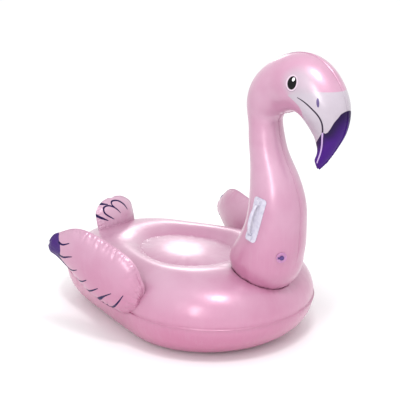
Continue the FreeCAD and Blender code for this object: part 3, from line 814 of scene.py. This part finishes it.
def pearl(name, low=0.02, high=0.36, deep=0.75):
    """Pearl-pink vinyl, with painted shade low down: the colour turns deeper pink below the height
    high, by as much as deep at the height low, where light comes through the film.
    """
    finish = Finish(name)
    height = finish.axis("Z")
    # painted shade: how much deeper pink is mixed in, deep at the height low and none above high
    depth = finish.ramp(height, low, high, deep, 0.0)
    cloud = finish.noise(3.2, 3.0)
    colour = finish.mix(finish.ramp(cloud, 0.35, 0.7), PINK, PINK_PALE)
    colour = finish.mix(depth, colour, PINK_PAINTED_SHADE)
    streak = finish.noise(55, 3.0, 0.6, (1.0, 1.0, 0.12))
    colour = finish.mix(finish.ramp(streak, 0.45, 0.75, 0.0, 0.12), colour, PINK_PALE)
    finish.colour = colour
    grain = finish.noise(1400, 2.0)
    soft = finish.noise(14, 3.0, 0.55)
    rough = finish.ramp(finish.noise(30, 3.0), 0.3, 0.7, 0.36, 0.44)
    finish.links.new(rough, finish.shader.inputs["Roughness"])
    finish.bump((soft, 0.0016), (grain, 0.00001))
    finish.settings(**FILM, Coat_Roughness=0.23, IOR=1.75)
    return finish


def finished(finish, colour):
    finish.links.new(colour, finish.shader.inputs["Base Color"])
    return finish.material


def dull(finish, mask):
    """Ink lies flatter on the film than the pearl does: it takes most of the shine away."""
    for name, shine in FILM.items():
        masked = finish.ramp(mask, 0.0, 1.0, shine, PRINTED[name])
        finish.link(masked, finish.shader.inputs[name])


def printed(finish, strokes, colour, under=0.0):
    """The film's colour with its printed strokes; under is a mask already inked."""
    mask = finish.stroke_mask(0)
    for number in range(1, strokes):
        mask = finish.math("MAXIMUM", mask, finish.stroke_mask(number))
    dull(finish, finish.math("MAXIMUM", mask, under))
    return finish.mix(mask, colour, INK_DARK)


def head_material():
    # painted shade: the neck turns deeper pink low down, from 0.72 m down to 0.30 m, up to 0.35 of
    # the way
    finish = pearl("neck_vinyl", 0.30, 0.72, 0.35)
    colour = finish.colour
    face = finish.stored("face").outputs["Fac"]
    fade = finish.stored("face_fade").outputs["Fac"]
    mask = finish.ramp(finish.math("DIVIDE", face, fade), 0.5, -0.5)
    tint = finish.mix(finish.ramp(finish.noise(9, 3.0), 0.3, 0.7), FACE_LILAC, FACE_PALE)
    colour = finish.mix(mask, colour, tint)
    brow = finish.ellipse(*BROW)
    colour = finish.mix(finish.ramp(brow, 1.0, 0.35, 0.0, 0.75), colour, FACE_LILAC)
    beak = finish.stored("beak").outputs["Fac"]
    dark = finish.mix(finish.ramp(beak, -45, -3), BEAK_DEEP, BEAK_EDGE)
    in_beak = finish.ramp(beak, 0.4, -0.4)
    colour = finish.mix(in_beak, colour, dark)
    line = finish.mix(in_beak, LINE_GREY, LINE_LILAC)
    colour = finish.mix(finish.stroke_mask(0), colour, line)
    nostril = finish.ellipse(*NOSTRIL)
    colour = finish.mix(finish.ramp(nostril, 1.06, 0.94), colour, INK)
    halo = finish.ellipse(*EYE_RING)
    ring = finish.math("MULTIPLY", finish.ramp(halo, 0.90, 0.93), finish.ramp(halo, 0.98, 0.95))
    below = finish.ramp(finish.axis("Z"), 1.182, 1.165)
    colour = finish.mix(finish.math("MULTIPLY", ring, below), colour, EYE_LINE)
    pale = finish.ramp(halo, 1.0, 0.8)
    colour = finish.mix(finish.math("MULTIPLY", pale, 0.5), colour, EYE_PALE)
    eye = finish.ellipse(*EYE)
    pupil = finish.ramp(eye, 1.03, 0.97)
    colour = finish.mix(pupil, colour, EYE_BLACK)
    lines = finish.math("MAXIMUM", pupil, finish.stroke_mask(0))
    dull(finish, finish.math("MAXIMUM", in_beak, lines))
    glint = finish.ellipse(*GLINT)
    colour = finish.mix(finish.ramp(glint, 1.1, 0.85), colour, GLINT_WHITE)
    return finished(finish, colour)


def wing_material():
    # painted shade: the wings turn deeper pink low down, from 0.5 m down to 0.16 m, up to 0.55 of
    # the way
    finish = pearl("wing_vinyl", 0.16, 0.5, 0.55)
    tip = finish.ramp(finish.stored("tip").outputs["Fac"], 0.5, -0.5)
    colour = finish.mix(tip, finish.colour, INK)
    return finished(finish, printed(finish, len(WING_STROKES), colour, under=tip))


def tail_material():
    finish = pearl("tail_vinyl", 0.1, 0.34, 0.0)
    # painted light: the tail's vinyl is lightened half way to a pale pink
    colour = finish.mix(0.5, finish.colour, TAIL_PAINTED_LIGHT)
    return finished(finish, printed(finish, len(TAIL_STROKES), colour))


def plain_vinyl(name, low, high, deep):
    finish = pearl(name, low, high, deep)
    return finished(finish, finish.colour)


def handle_material():
    finish = Finish("handle_vinyl")
    cloud = finish.noise(60, 3.0)
    colour = finish.mix(finish.ramp(cloud, 0.35, 0.7), srgb(196, 192, 206), srgb(180, 176, 194))
    weave = finish.noise(700, 2.0)
    finish.bump((cloud, 0.0005), (weave, 0.00012))
    finish.settings(Roughness=0.38, Coat_Weight=0.25, Coat_Roughness=0.2)
    return finished(finish, colour)


def valve_material(name, colour, pale, rough):
    finish = Finish(name)
    cloud = finish.noise(120, 3.0)
    shade = finish.mix(finish.ramp(cloud, 0.3, 0.75), colour, pale)
    finish.bump((finish.noise(900, 2.0), 0.00006))
    finish.settings(Roughness=rough, Coat_Weight=0.3, Coat_Roughness=0.15)
    return finished(finish, shade)


def finish_with(obj, material):
    obj.data.materials.clear()
    obj.data.materials.append(material)
    return obj


# ---------------------------------------------------------------- assemble
# painted shade: the body turns fully deeper pink at the floor, fading out by 0.38 m; the seat up
# to half, from 0.02 m to 0.30 m
body_vinyl = plain_vinyl("body_vinyl", 0.0, 0.38, 1.0)
seat_vinyl = plain_vinyl("seat_vinyl", 0.02, 0.30, 0.5)
handle_vinyl = handle_material()
halo_vinyl = valve_material("valve_vinyl", srgb(172, 112, 160), srgb(186, 130, 172), 0.4)
plug_vinyl = valve_material("valve_plug", srgb(60, 26, 96), srgb(78, 36, 116), 0.3)

body = build_body()
finish_with(body, body_vinyl)
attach(body, "float")
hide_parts("body_top_panel", "body_bottom_panel", "neck_socket_panel")

for seat_name, seat_node, seat_height, seat_way, seat_seed in (
        ("seat_top_skin", "seat_top_panel", SEAT_EDGE, 1, 51),
        ("seat_bottom_skin", "seat_bottom_panel", SEAT_BOTTOM, -1, 52)):
    seat = build_seat(seat_name, seat_height, seat_way, seat_seed)
    finish_with(seat, seat_vinyl)
    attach(seat, "float")
    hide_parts(seat_node)

neck = build_neck()
print_head(neck)
finish_with(neck, head_material())
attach(neck, "neck")
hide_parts("neck_left_panel", "neck_right_panel", "neck_base_panel")

wing_vinyl = wing_material()
for side, label in ((1, "left"), (-1, "right")):
    root, axis, rise, face = wing_frame(side)
    wing = build_pillow(f"wing_{label}_skin", WING_STATIONS, root, axis, rise, face,
                        60, 1.2, 21, 5.0, 40)
    print_wing(wing, side)
    finish_with(wing, wing_vinyl)
    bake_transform(wing)
    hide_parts(*[f"wing_{label}_{part}"
                        for part in ("outer_panel", "inner_panel", "root_hem")])

tail = build_pillow("tail_skin", TAIL_STATIONS, TAIL_ROOT, TAIL_UP, LEFT, TAIL_FACE,
                    70, 1.15, 18, 4.0, 30)
print_tail(tail)
finish_with(tail, tail_material())
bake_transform(tail)
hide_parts("tail_front_panel", "tail_rear_panel", "tail_root_hem")

for node_name, node in NODES.items():
    if node_name.startswith("handle"):
        finish_with(node, handle_vinyl)
    elif "valve" in node_name:
        finish_with(node, halo_vinyl if "flange" in node_name else plug_vinyl)

# ---------------------------------------------------------------- stage, light and camera
FLOOR_REACH = 40
FLOOR_COLOUR = (0.93, 0.93, 0.935, 1)
WORLD_STRENGTH = 1.09
LENS_MM, SENSOR_MM = 90.4, 36
CAMERA_AT = Vector((2.885, -3.153, 1.919))
BACK = Vector((0.632, -0.678, 0.3746)).normalized()
RIGHT = Vector((0.731, 0.682, 0.0)).normalized()
CAMERA_UP = BACK.cross(RIGHT)
# the float sits off the middle of the picture
AIM_RIGHT, AIM_UP = 0.0077, 0.0795

floor_mesh = bpy.data.meshes.new("floor")
corners = [(x * FLOOR_REACH, y * FLOOR_REACH, 0) for x, y in ((-1, -1), (1, -1), (1, 1), (-1, 1))]
floor_mesh.from_pydata(corners, [], [(0, 1, 2, 3)])
floor = bpy.data.objects.new("floor", floor_mesh)
bpy.context.collection.objects.link(floor)
floor_finish = Finish("floor")
floor_finish.settings(Base_Color=FLOOR_COLOUR, Roughness=0.8, Specular_IOR_Level=0.1)
floor_mesh.materials.append(floor_finish.material)

world = bpy.data.worlds.new("studio")
bpy.context.scene.world = world
world.use_nodes = True
background = world.node_tree.nodes["Background"]
background.inputs["Color"].default_value = (1.0, 1.0, 1.0, 1)
background.inputs["Strength"].default_value = WORLD_STRENGTH
bpy.context.scene.view_settings.view_transform = "Standard"


def softbox(name, place, target, width, height, power):
    """A rectangular light at place that faces target."""
    data = bpy.data.lights.new(name, "AREA")
    data.shape = "RECTANGLE"
    data.size, data.size_y = width, height
    data.energy = power
    light = bpy.data.objects.new(name, data)
    light.location = place
    light.rotation_euler = (Vector(target) - Vector(place)).to_track_quat("-Z", "Y").to_euler()
    bpy.context.collection.objects.link(light)


softbox("overhead", (1.35, -0.95, 3.1), (0.15, -0.1, 0.2), 0.6, 0.6, 34)
softbox("front_left", (1.6, -3.6, 2.1), (0.35, 0.0, 0.85), 0.4, 1.7, 32)
softbox("behind", (-2.9, 2.9, 2.1), (0.0, 0.0, 0.3), 0.5, 0.4, 9)

camera_data = bpy.data.cameras.new("camera")
camera_data.lens = LENS_MM
camera_data.sensor_width = SENSOR_MM
camera_data.clip_end = 200
camera = bpy.data.objects.new("camera", camera_data)
camera.location = CAMERA_AT
aim = RIGHT * AIM_RIGHT + CAMERA_UP * AIM_UP - BACK
camera.rotation_euler = aim.to_track_quat("-Z", "Y").to_euler()
bpy.context.collection.objects.link(camera)
bpy.context.scene.camera = camera
